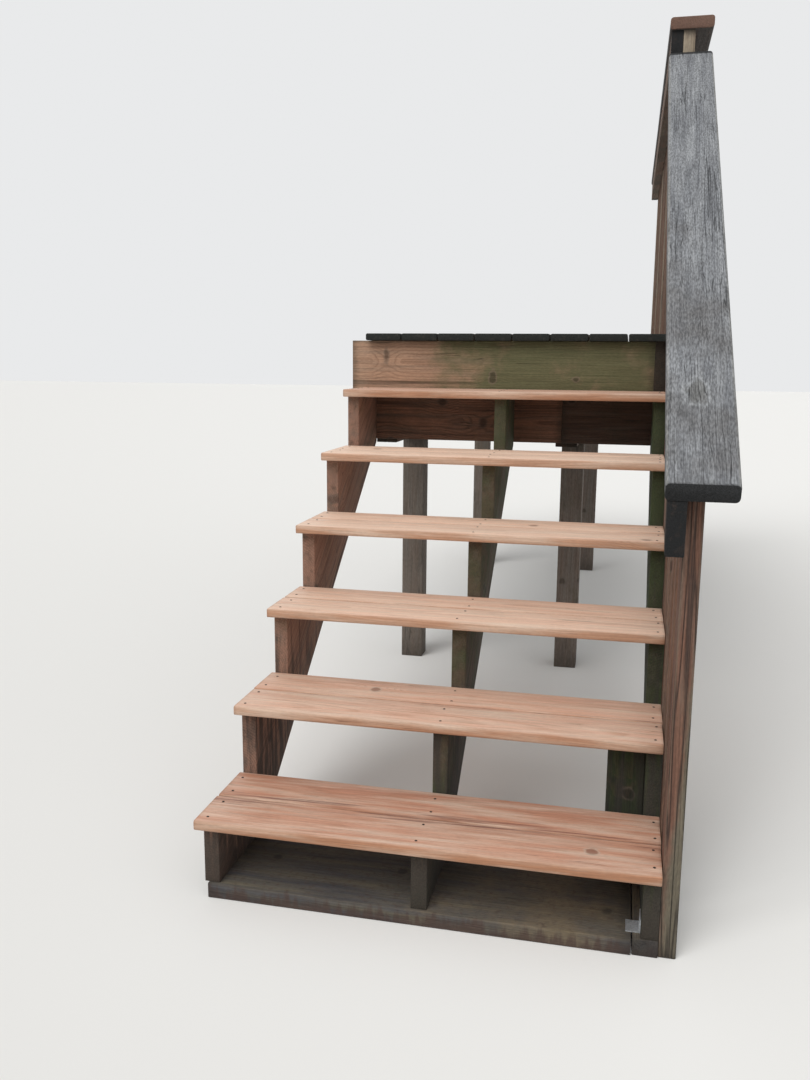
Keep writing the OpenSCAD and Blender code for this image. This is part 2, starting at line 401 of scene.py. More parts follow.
        # Dark soaked ends and worn arrises
        soak = pattern((30, 12, 12), 3.0)
        soak = node("MapRange", {0: soak, 3: -0.6, 4: 0.6}, clamp=False)
        soak = node(
            "Math", soak, self.tip_reach_mm * MM, inset.outputs["X"], operation="MULTIPLY_ADD"
        )
        tip = node("MapRange", soak, 0.0, self.tip_reach_mm * MM, self.tip_strength, 0.0, **SMOOTH)
        across = node("VectorMath", facing, axis, operation="DOT_PRODUCT").outputs["Value"]
        across = node("Math", across, operation="ABSOLUTE")
        cut = node("MapRange", {0: across, 1: 0.6, 2: 0.78, 4: 0.45 + 0.5 * self.tip_strength})
        tip = node("Math", tip, cut, operation="MAXIMUM")
        arris = node("Math", inset.outputs["Y"], inset.outputs["Z"], operation="MAXIMUM")
        arris = node("MapRange", arris, 0.0, self.arris_mm * MM, self.arris_strength, 0.0, **SMOOTH)
        narrow = node("MapRange", inset.outputs["Y"], 0.0015, 0.005, self.side, 0.0)
        arris = node("Math", arris, narrow, operation="MAXIMUM")

        # Streaky stains where water stands, at the side of a board that the piece marks
        stain = pattern((260, 9, 9), 4.0, (-0.5, 0.5))
        stain = node("Math", wet, stain, operation="ADD")
        if self.splash_mm:
            # Splashed dirt, which rain then draws down in drips
            level = node("SeparateXYZ", place).outputs["Z"]
            splash = node("MapRange", level, 0.0, self.splash_mm * MM, 1.3, 0.0)
            drip = stretched(node, place, (14, 14, 150), 3.0, (-0.4, 0.4))
            splash = node("Math", splash, drip, operation="ADD")
            stain = node("Math", stain, splash, operation="MAXIMUM")
        stain = node("MapRange", stain, 0.55, 1.15, **SMOOTH)

        # Layers from the bare wood outwards: colour, mask and how far it covers at most
        layers = (
            (self.other, tone, 1.0), (self.late, late, self.contrast),
            (self.streak, streak, self.streaking), (self.edge, arris, 1.0), (self.grey, skin, 0.9),
            (self.growth, growth, 0.9), (self.knot, knot, 0.6), (self.grey, rim, self.rim),
            (self.damp, stain, 0.8), (self.tip, tip, 1.0), (self.tip, crack, 0.75),
        )
        colour: object = linear(self.pale)
        for code, mask, share in layers:
            mask = node("Math", mask, share, operation="MULTIPLY")
            colour = node("Mix", {0: mask, 6: colour, 7: linear(code)}, data_type="RGBA").outputs[2]
        # Weather specks are drawn 3 mm wide, because real ones are too fine for the render
        specks = pattern((12, 3, 3), 3.0)
        specks = node("MapRange", specks, 0.36, 0.64, -self.speck, self.speck)
        spread = 0.15 + 0.4 * self.speck
        grit = node("MapRange", fibre, 0.28, 0.72, 0.99 - spread, 0.99 + spread)
        grit = node("Math", grit, specks, operation="ADD")
        colour = node("HueSaturation", {"Value": grit, "Color": colour}).outputs["Color"]

        # Relief in metres: raised late wood and fibres, and open cracks
        relief = self.relief_mm * MM
        height = node("Math", fibre, FIBRE_RELIEF * relief, operation="MULTIPLY")
        for part, depth in ((late, relief), (crack, CRACK_RELIEF * relief), (knot, relief)):
            height = node("Math", part, depth, height, operation="MULTIPLY_ADD")
        bump = node("Bump", {"Height": height, "Distance": 1.0})
        rough = node("MapRange", fibre, 0.2, 0.8, self.roughness + 0.1, self.roughness - 0.1)
        shader = node(
            "BsdfPrincipled", {"Base Color": colour, "Roughness": rough, "Normal": bump, "IOR": 1.5}
        )
        node("OutputMaterial", {"Surface": shader})
        return mat


@dataclass(frozen=True)
class SteelFinish:
    """Zinc-coated steel, which goes dull and spots with rust out of doors.

    Attributes:
        name: the material's name.
        slot: the record's material slot; not used.
        zinc: colour of the coating.
        rust: colour of the rust.
        rusting: share of the surface that has rusted, from 0 to 1.
        grain_mm: size of a rust spot.
        spangle_mm: size of a crystal in the coating.
        roughness: roughness of the coating.
    """

    name: str
    slot: str
    zinc: str
    rust: str
    rusting: float
    grain_mm: float
    spangle_mm: float = 1000 / 220
    roughness: float = 0.6

    @cache
    def material(self) -> bpy.types.Material:
        """Builds the material, once.

        Returns:
            The new material.
        """
        mat = bpy.data.materials.new(self.name)
        node = partial(add, empty_tree(mat))
        place = node("TexCoord").outputs["Object"]
        spots = node("TexNoise", {"Vector": place, "Scale": 1000 / self.grain_mm, "Detail": 5.0})
        rust = node("MapRange", spots, 0.75 - 0.5 * self.rusting, 0.85 - 0.5 * self.rusting)
        spangle = node("TexVoronoi", {"Vector": place, "Scale": 1000 / self.spangle_mm})
        shade = node("MapRange", {0: spangle.outputs["Distance"], 3: 0.85, 4: 1.15})
        zinc = node("HueSaturation", {"Value": shade, "Color": linear(self.zinc)}).outputs["Color"]
        colour = node("Mix", {0: rust, 6: zinc, 7: linear(self.rust)}, data_type="RGBA").outputs[2]
        metal = node("MapRange", {0: rust, 3: 1.0, 4: 0.1})
        rough = node("MapRange", {0: rust, 3: self.roughness, 4: 0.9})
        bump = node("Bump", {"Height": spots, "Distance": 0.0003})
        shader = node(
            "BsdfPrincipled",
            {"Base Color": colour, "Metallic": metal, "Roughness": rough, "Normal": bump},
        )
        node("OutputMaterial", {"Surface": shader})
        return mat


# Pine decking boards, planed and scrubbed clean: tan with reddish brown late wood, and
# brown stains where water stands in the joint
TREAD_PINE = WoodFinish(
    name="scrubbed_pine_tread", slot="tread_wood", pale="#fbd9c0", other="#c08a70", late="#ab7b5f",
    streak="#a06d50", knot="#6b4535", grey="#dcc8b4", edge="#a06f4d", growth="#75614c",
    tip="#7d5941", damp="#74493a", streaking=0.25, greying=0.15, growing=0.02, speck=0.05,
    tip_reach_mm=8.0, tip_strength=0.3, arris_mm=7.0, crack=0.4, roughness=0.58, relief_mm=0.15,
    side=0.75, under=0.1, knots=0.04, crack_width=0.013,
)
# Treated framing lumber that has stood in the wet: reddish brown where it stays dry,
# its other tone green-black with moss, and darker towards the ground
STRINGER_PINE = WoodFinish(
    name="treated_pine_stringer", slot="stringer_wood", pale="#a07864", other="#16190f",
    late="#5a4235", streak="#33291f", knot="#241b17", grey="#6f6257", edge="#4b3f33",
    growth="#313f1b", tip="#3b332b", ring_mm=6.0, greying=0.08,
    growth_from=((0.0, 0.0, 0.25), (0.0, 0.0, 0.9)), speck=0.1, tip_strength=0.4, crack=0.4,
    damp="#2c2824", tone_growth=0.4, splash_mm=950.0,
)
# The same lumber where it lies on the ground, nearly black with dust on its top
GROUND_PINE = WoodFinish(
    name="treated_pine_on_ground", slot="stringer_wood", pale="#4b494a", other="#46464a",
    late="#423a37", streak="#332d2a", knot="#292321", grey="#67604f", edge="#4c4440",
    growth="#776850", tip="#2d2a28", ring_mm=6.0, greying=0.25, top_greying=0.2, growing=0.3,
    speck=0.1, tip_reach_mm=40.0, roughness=0.9, growth_from=((-0.3, 0.0, 0.0), (1.9, 0.0, 0.0)),
    damp="#4a3932", splash_mm=62.0,
)
# Header lumber: tan where it stays dry, olive with algae towards the outer side
HEADER_PINE = WoodFinish(
    name="treated_pine_header", slot="frame_wood", pale="#ae8c72", other="#a07f68", late="#6b4d38",
    streak="#38291b", knot="#33261c", grey="#8a7867", edge="#4f4332", growth="#55593a",
    tip="#3a3324", ring_mm=7.0, streaking=0.8, growing=0.52,
    growth_from=((-0.52, 0.0, 0.0), (2.2, 0.0, 0.0)), speck=0.1, arris_mm=12.0,
    arris_strength=0.6, roughness=0.84, relief_mm=0.25, knots=0.0,
    seen_knots=(
        (-0.406, 0.039, 0.015, 0.034), (-0.02, -0.034, 0.018, 0.036), (0.271, -0.038, 0.02, 0.013)
    ),
)
# Lumber under the landing: shaded, dark reddish brown and damp
FRAME_PINE = WoodFinish(
    name="treated_pine_landing_frame", slot="frame_wood", pale="#7a5845", other="#3d2d23",
    late="#33241c", streak="#2a1e18", knot="#1d1511", grey="#5d5046", edge="#3a2c24",
    growth="#2f2f22", tip="#1c1f17", ring_mm=7.0, contrast=0.55, streaking=0.6, greying=0.06,
    speck=0.1,
)
# Square posts, weathered to a greyish brown and split along the grain
POST_PINE = WoodFinish(
    name="treated_pine_post", slot="frame_wood", pale="#706259", other="#6f6358", late="#56493d",
    streak="#4a4036", knot="#33291f", grey="#6f6962", edge="#675c51", growth="#4a4a38",
    tip="#38322b", ring_mm=5.0, greying=0.35, tip_reach_mm=120.0, crack=0.6, relief_mm=0.35,
)
# Guard uprights: reddish brown, greying on the weather side, split along the grain
GUARD_PINE = WoodFinish(
    name="weathered_pine_guard", slot="guard_wood", pale="#7b5846", other="#6f5141", late="#4d3429",
    streak="#3b261d", knot="#2a1f19", grey="#716a5e", edge="#5b4b3e", growth="#4d4d3a",
    tip="#2b2826", ring_mm=4.5, contrast=0.6, streaking=0.65, greying=0.12, growing=0.08,
    tip_strength=0.6, crack=0.7, roughness=0.84, relief_mm=0.45,
)
# The newel: redder, with long dark drying grooves, grey-green by the ground and outside
NEWEL_PINE = WoodFinish(
    name="weathered_pine_newel", slot="guard_wood", pale="#835e4c", other="#5f4335", late="#54382d",
    streak="#3f251c", knot="#2a1f19", grey="#6d6257", edge="#6e6355", growth="#6d6757",
    tip="#231d1a", contrast=0.6, streaking=0.7, growing=0.6,
    growth_from=((0.525, 0.0, 0.6), (24.0, 0.0, -1.9)), tip_reach_mm=25.0, arris_mm=7.0,
    arris_strength=0.5, crack=1.3, roughness=0.84, relief_mm=0.7, crack_mm=17.0, crack_width=0.05,
)
# Guard rails: as the uprights, their soaked ends black with mould
RAIL_PINE = WoodFinish(
    name="weathered_pine_rail", slot="guard_wood", pale="#7d5f4e", other="#6c5242", late="#4d382c",
    streak="#3d2c23", knot="#2a1f19", grey="#716a5e", edge="#54473b", growth="#3f3f33",
    tip="#0d0e0f", ring_mm=4.5, contrast=0.6, streaking=0.65, greying=0.12, tip_reach_mm=90.0,
    tip_strength=1.0, crack=0.6, relief_mm=0.4,
)
# Cap lumber: bare to the sky, dull grey, fibrous and speckled, with brown stains, a
# paler worn arris, soaked black ends and painted shade on its underside
CAP_PINE = WoodFinish(
    name="silvered_pine_cap", slot="cap_wood", pale="#7b7d80", other="#6c6e72", late="#55565a",
    streak="#4a4a4c", knot="#605f5b", grey="#989a9c", edge="#a3a096", growth="#5c5a59",
    tip="#121314", contrast=0.7, streaking=0.35, greying=0.22, top_greying=0.12, growing=0.3,
    speck=0.34, tip_reach_mm=10.0, tip_strength=0.95, arris_mm=8.0, arris_strength=0.65, crack=0.7,
    roughness=0.92, relief_mm=0.5, under=0.5, growth_from=((0.0, -0.6, 0.0), (0.0, -0.6, 0.0)),
    seen_knots=((-0.744, -0.008, 0.07, 0.038),), rim=1.3, crack_mm=13.0, crack_width=0.014,
    knots=0.0,
)
# The landing's cap: the same, its narrow faces dark and its end bare reddish brown; its
# underside takes the dark brown algae colour as painted shade
LANDING_CAP_PINE = replace(
    CAP_PINE, seen_knots=(), name="silvered_pine_landing_cap", edge="#3d342e", side=0.85,
    tip="#6e5244", growth="#3a342f", growing=0.2, growth_from=None,
)
# Guard posts: greyish tan with dark grain
GUARD_POST_PINE = replace(
    GUARD_PINE, name="weathered_pine_guard_post", pale="#9b8a76", other="#8b7a67", late="#5f5145",
    grey="#9a917f",
)
# Landing boards: grey brown tops, ends black-green with mould
DECKING_PINE = WoodFinish(
    name="weathered_pine_decking", slot="decking_wood", pale="#8a7d70", other="#7d6f62",
    late="#5f5348", streak="#54493f", knot="#3b322a", grey="#8d877e", edge="#4f4b42",
    growth="#4a4d3c", tip="#191d1a", ring_mm=5.0, greying=0.35, top_greying=0.15, growing=0.16,
    tip_reach_mm=70.0, tip_strength=1.0, crack=0.5, roughness=0.88, relief_mm=0.35,
)
# Galvanised steel: dull zinc with light spangle
ZINC = SteelFinish(
    name="galvanised_steel", slot="bracket_steel", zinc="#dfe3e6", rust="#6b4a35", rusting=0.12,
    grain_mm=9.0,
)
# Deck screws: zinc gone dark and brown in the weather
SCREW = SteelFinish(
    name="weathered_screw_steel", slot="bracket_steel", zinc="#4b443f", rust="#3a2d26", rusting=0.6,
    grain_mm=3.0,
)


# --- Lumber ------------------------------------------------------------------------


def reach_to(line: Line, point: Vector, axis: Vector) -> float:
    """Measures how far a point lies from an end cut, along the grain.

    Args:
        line: two points on the cut, in Y and Z.
        point: the point.
        axis: direction of the grain.

    Returns:
        The distance, in metres.
    """
    (y0, z0), (y1, z1) = line
    normal = Vector((0.0, z1 - z0, y0 - y1)).normalized()
    return abs((point - Vector((0.0, y0, z0))).dot(normal) / axis.dot(normal))


@dataclass
class Lumber:
    """A piece made of one or more boards, which stands for one CAD node.

    Attributes:
        node: the CAD node that it replaces.
        finish: what it is made of and how it has weathered.
        seed: number that sets the grain of its boards.
        tone: share of the finish's other colour, or None to vary it by board.
        wet: strength of the stain at a board's side, negative for its lower side.
        ending: what the piece's name adds to the node's.
        mesh: the boards that have been made.
    """

    node: str
    finish: WoodFinish
    seed: int
    tone: float | None = None
    wet: float = 0.0
    ending: str = "wood"
    mesh: bmesh.types.BMesh = field(default_factory=bmesh.new)

    def __post_init__(self) -> None:
        """Adds the layers that the wood finishes read."""
        verts = self.mesh.verts.layers
        self.done = verts.int.new("done")
        self.layers = [verts.float_vector.new(name) for name in LAYERS]
        self.tones = verts.float.new("tone")
        self.wets = verts.float.new("wet")
        self.count = 0

    def _fresh(self) -> list[bmesh.types.BMVert]:
        """Returns the corners of the board that is being made."""
        return [v for v in self.mesh.verts if v[self.done] == 0]

    def _edges(self) -> set[bmesh.types.BMEdge]:
        """Returns the edges of the board that is being made."""
        return {e for v in self._fresh() for e in v.link_edges}

    def _finish_board(
        self, place: Matrix, half: Vector, wander_mm: float, ends: tuple[Line, Line] | None = None
    ) -> None:
        """Gives the newest board its grain and its slightly uneven faces.

        Args:
            place: matrix from the board's own axes, grain along X, to the row frame.
            half: half its length, width and thickness, in metres.
            wander_mm: how far its faces stray inwards from straight.
            ends: the lines of its two end cuts in Y and Z, or None where they are square.
        """
        rng = random.Random(1000 * self.seed + self.count)
        along = rng.uniform(0, LOG)
        aside = rng.uniform(-ASIDE, ASIDE)
        heart = Vector((along, aside, rng.choice((-1, 1)) * rng.uniform(*OUT)))
        tilt = Vector((0, *(rng.uniform(-slant, slant) for slant in SLANTS)))
        tone = rng.random() if self.tone is None else self.tone
        back = place.inverted()
        axis = place.to_3x3() @ Vector((1.0, 0.0, 0.0))
        grain, board, halves, axes = self.layers
        for v in self._fresh():
            local = back @ v.co
            v[grain] = local + heart + tilt * local.x
            v[board] = local
            v[halves] = half
            if ends is not None:
                before, after = (reach_to(line, v.co, axis) for line in ends)
                v[board] = Vector(((before - after) / 2, local.y, local.z))
                v[halves] = Vector(((before + after) / 2, half.y, half.z))
            v[axes] = axis
            v[self.tones] = tone
            v[self.wets] = self.wet * local.y / half.y
            v[self.done] = 1
            bow = noise.noise_vector(Vector((local.x * BOW + along, self.seed, 0.0)))
            chip = noise.noise_vector(
                Vector((local.x * CHIP + along, local.y * CHIP, local.z * CHIP))
            )
            for i, stray in ((1, bow.y + 0.5 * chip.y), (2, 0.6 * bow.z + 0.4 * chip.z)):
                inwards = (0.5 + 0.4 * stray) * wander_mm * MM
                local[i] *= 1 - inwards / half[i]
            v.co = place @ local
        self.count += 1

    def board(
        self, low: Vector, high: Vector, along: Along, ease_mm: float = 2.5,
        turn: Matrix | None = None, wander_mm: float = 0.4, skews: Pair = (0.0, 0.0),
    ) -> "Lumber":
        """Adds a straight board that fills a box, with eased edges.

        Args:
            low: lowest corner of the box, in metres.
            high: highest corner of the box.
            along: direction of the grain.
            ease_mm: radius of the long edges.
            turn: matrix that turns the finished board, or None.
            wander_mm: how far its faces stray inwards from straight.
            skews: slant of its two end cuts, along the grain for each unit through it.

        Returns:
            This piece, so that calls can follow each other.
        """
        extent, centre = high - low, (high + low) / 2
        others = [i for i in range(3) if i != along.value]
        wide, thin = sorted(others, key=lambda i: -extent[i])
        axes = [Vector((0, 0, 0)) for _ in range(3)]
        for own, row in enumerate((along.value, wide, thin)):
            axes[own][row] = 1.0
        if axes[0].cross(axes[1]).dot(axes[2]) < 0:
            axes[2].negate()
        place = Matrix.Translation(centre) @ Matrix(axes).transposed().to_4x4()
        if turn is not None:
            place = turn @ place
        size = Vector((extent[along.value], extent[wide], extent[thin]))
        bm = self.mesh
        made = bmesh.ops.create_cube(bm, size=1.0, matrix=Matrix.Diagonal((*size, 1.0)))["verts"]
        long_edges = [
            e
            for e in {e for v in made for e in v.link_edges}
            if abs(e.verts[0].co.x - e.verts[1].co.x) > size.x / 2
        ]
        cuts = max(1, round(size.x / RING_STEP) - 1)
        bmesh.ops.subdivide_edges(bm, edges=long_edges, cuts=cuts, use_grid_fill=True)

        def outermost(v: bmesh.types.BMVert, *sides: int) -> bool:
            """Tells whether a corner lies on the outside of the board, in some directions."""
            return all(abs(abs(v.co[i]) - size[i] / 2) < NEAR for i in sides)

        arrises = [
            e
            for e in self._edges()
            if all(outermost(v, 1, 2) for v in e.verts)
            and abs(e.verts[0].co.x - e.verts[1].co.x) > NEAR
        ]
        self._bevel(arrises, ease_mm * MM, 3)
        ends = [e for e in self._edges() if all(outermost(v, 0) for v in e.verts)]
        for v in {v for e in ends for v in e.verts}:
            v.co.x += skews[v.co.x > 0] * v.co.z
        self._bevel(ends, END_EASE * ease_mm * MM, 2)
        bmesh.ops.transform(bm, matrix=place, verts=self._fresh())
        self._finish_board(place, size / 2, wander_mm)
        return self

    def cut(
        self, outline: Sequence[Pair], x0: float, x1: float, lean: float,
        cuts: tuple[int, int] = (0, 2), ease_mm: float = 2.5, wander_mm: float = 0.3,
    ) -> "Lumber":
        """Adds a board cut to an outline that is seen from the side.

        Args:
            outline: corners in Y and Z, in metres.
            x0: lower side of the board along X.
            x1: upper side of the board along X.
            lean: angle of the grain above level, in radians.
            cuts: which sides of the outline are its lower and its upper end.
            ease_mm: radius of its edges.
            wander_mm: how far its faces stray inwards from straight.

        Returns:
            This piece.
        """
        bm = self.mesh
        ring = [bm.verts.new((x0, y, z)) for y, z in outline]
        face = bm.faces.new(ring)
        grown = bmesh.ops.extrude_face_region(bm, geom=[face])["geom"]
        top = [g for g in grown if isinstance(g, bmesh.types.BMVert)]
        bmesh.ops.translate(bm, verts=top, vec=(x1 - x0, 0, 0))
        faces = list({f for v in self._fresh() for f in v.link_faces})
        bmesh.ops.recalc_face_normals(bm, faces=faces)
        self._bevel(self._edges(), ease_mm * MM, 2)
        length = Vector((0.0, math.cos(lean), math.sin(lean)))
        width = Vector((0.0, -math.sin(lean), math.cos(lean)))
        turn = Matrix((length, width, length.cross(width))).transposed()
        spots = [Vector((0.0, v.co.y, v.co.z)) for v in self._fresh()]
        runs = [p.dot(length) for p in spots]
        sides = [p.dot(width) for p in spots]
        centre = (
            length * (max(runs) + min(runs)) / 2
            + width * (max(sides) + min(sides)) / 2
            + Vector(((x0 + x1) / 2, 0.0, 0.0))
        )
        half = Vector(((max(runs) - min(runs)) / 2, (max(sides) - min(sides)) / 2, (x1 - x0) / 2))
        ends = tuple((outline[i], outline[(i + 1) % len(outline)]) for i in cuts)
        self._finish_board(Matrix.Translation(centre) @ turn.to_4x4(), half, wander_mm, ends)
        return self

    def _bevel(self, edges: Iterable[bmesh.types.BMEdge], offset: float, segments: int) -> None:
        """Rounds edges of the newest board.

        Args:
            edges: the edges.
            offset: width taken off each side, in metres.
            segments: number of strips in the rounding.
        """
        bmesh.ops.bevel(
            self.mesh, geom=list(edges), offset=offset, offset_type="OFFSET", segments=segments,
            profile=0.5, affect="EDGES", material=-1, clamp_overlap=True,
        )

    def build(self) -> None:
        """Turns the boards into a finished piece that stands for its CAD node."""
        name = f"{self.node}_{self.ending}"
        piece = to_object(self.mesh, name, self.finish.material())
        piece.data.shade_smooth()
        piece.data.set_sharp_from_angle(angle=math.radians(SHARP))
        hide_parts(self.node)
        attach(piece, "root")
        log.info("%s: %d boards, %d faces", name, self.count, len(piece.data.polygons))


@dataclass
class Screws:
    """Countersunk deck screws, seen as small recessed heads.

    Attributes:
        name: the piece's name.
        head_mm: width of a screw head.
        proud_mm: how far the head stands above the wood.
        taper: width of a head's top, as a share of its width.
        rim: width of the ring round the recess, as a share of the head's width.
        recess_mm: depth of the recess.
        sides: number of sides of a head.
        places: a point and the outward normal of the face for each screw.
    """

    name: str
    head_mm: float = 7.0
    proud_mm: float = 0.4
    taper: float = 0.86
    rim: float = 0.24
    recess_mm: float = 0.6
    sides: int = 12
    places: list[tuple[Vector, Vector]] = field(default_factory=list)

    def at(self, point: Vector, normal: Vector) -> None:
        """Notes a screw at a point of a face with this outward normal."""
        self.places.append((point, normal))

    def build(self) -> None:
        """Makes all the heads as one piece."""
        bm = bmesh.new()
        radius = self.head_mm * MM / 2
        for point, normal in self.places:
            turn = Vector((0, 0, 1)).rotation_difference(normal).to_matrix().to_4x4()
            place = Matrix.Translation(point) @ turn
            made = bmesh.ops.create_cone(
                bm, cap_ends=True, segments=self.sides, radius1=radius,
                radius2=radius * self.taper, depth=2 * self.proud_mm * MM, matrix=place,
            )["verts"]
            caps = {f for v in made for f in v.link_faces if len(f.verts) == self.sides}
            face = max(caps, key=lambda f: f.calc_center_median().dot(normal))
            bmesh.ops.inset_individual(
                bm, faces=[face], thickness=self.head_mm * MM * self.rim, depth=-self.recess_mm * MM
            )
        piece = to_object(bm, self.name, SCREW.material())
        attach(piece, "root")
        log.info("%s: %d heads", self.name, len(self.places))


# --- The stairs --------------------------------------------------------------------


@dataclass(frozen=True)
class Layout:
    """The few numbers of the flight that its slanting pieces share, in millimetres.

    Y is counted from the first nosing and Z from the ground.

    Attributes:
        rise: height of a step.
        run: distance from one nosing to the next.
        first_rise: height of the first tread's top.
        nosing: how far a tread stands out in front of its stringers.
        steps: number of treads.
        frame: thickness of framing lumber.
        narrow: width of rails and of the newel.
        joist: width of the landing's joists.
        board: thickness of the boards that are walked on.
        stringer: width of the lumber that the stringers are cut from.
        guard: height of the stair cap's lower end above the line of the nosings.
        landing_guard: height of the landing's cap above its boards.
        guard_meet: height of the stair cap's upper end above the landing rail's underside.
        guard_start: distance from the header's face to the first post of the landing.
        cap_gap: gap between the stair cap and that post.
        fore: how far the stair cap stands out in front of the first nosing.
        mid_y: Y of the row frame's origin.
    """

    rise: float = 191.0
    run: float = 247.0
    first_rise: float = 210.0
    nosing: float = 38.0
    steps: int = 6
    frame: float = 38.0
    narrow: float = 89.0
    joist: float = 184.0
    board: float = 25.0
    stringer: float = 286.0
    guard: float = 866.0
    landing_guard: float = 1019.0
    guard_meet: float = 20.0
    guard_start: float = 103.0
    cap_gap: float = 3.0
    fore: float = 44.0
    mid_y: float = 2263.0

    @property
    def slope(self) -> float:
        """Rise of the flight for each unit of run."""
        return self.rise / self.run

    @property
    def lean(self) -> float:
        """Angle of the flight, in radians."""
        return math.atan(self.slope)

    @property
    def header(self) -> float:
        """Distance to the face of the header."""
        return self.nosing + self.steps * self.run

    @property
    def post(self) -> float:
        """Distance to the first guard post of the landing."""
        return self.header + self.guard_start

    @property
    def frame_low(self) -> float:
        """Height of the lower edge of the landing's joists."""
        return self.first_rise + self.steps * self.rise - self.board - self.joist

    @property
    def cap_low(self) -> float:
        """Height of the stair cap's lower end."""
        return self.first_rise - self.slope * self.fore + self.guard

    @property
    def guard_slope(self) -> float:
        """Rise of the stair guard for each unit of run."""
        landing = self.first_rise + self.steps * self.rise
        rail_low = landing + self.landing_guard - self.frame - self.narrow
        return (rail_low + self.guard_meet - self.cap_low) / (self.post - self.cap_gap + self.fore)

    @property
    def guard_lean(self) -> float:
        """Angle of the stair guard, in radians."""
        return math.atan(self.guard_slope)

    def cap_under(self, y: float) -> float:
        """Height of the underside of the stair cap above the ground, at y."""
        top = self.cap_low + self.guard_slope * (y + self.fore)
        return top - self.frame / math.cos(self.guard_lean)

    def stringer_low(self, y: float) -> float:
        """Height of the lower edge of the stringers above the ground, at y."""
        seat = self.first_rise - self.board - self.slope * self.nosing
        return seat + self.slope * y - self.stringer / math.cos(self.lean)

    def metres(self, y: float, z: float) -> Pair:
        """A point in Y and Z of the row frame, in metres."""
        return (y - self.mid_y) * MM, z * MM


@dataclass
class Assembly:
    """What the sub-assemblies share.

    Attributes:
        at: the numbers of the flight.
    """

    at: Layout

    def single(
        self, node: str, finish: WoodFinish, along: Along, seed: int, ease_mm: float = 2.5,
        tone: float | None = None,
    ) -> None:
        """Makes one straight board in the box of its CAD node.

        Args:
            node: the CAD node.
            finish: its wood.
            along: direction of its grain.
            seed: number that sets its grain.
            ease_mm: radius of its long edges.
            tone: share of the finish's other colour, or None to leave it to chance.
        """
        low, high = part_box(node)
        Lumber(node, finish, seed, tone).board(low, high, along, ease_mm).build()


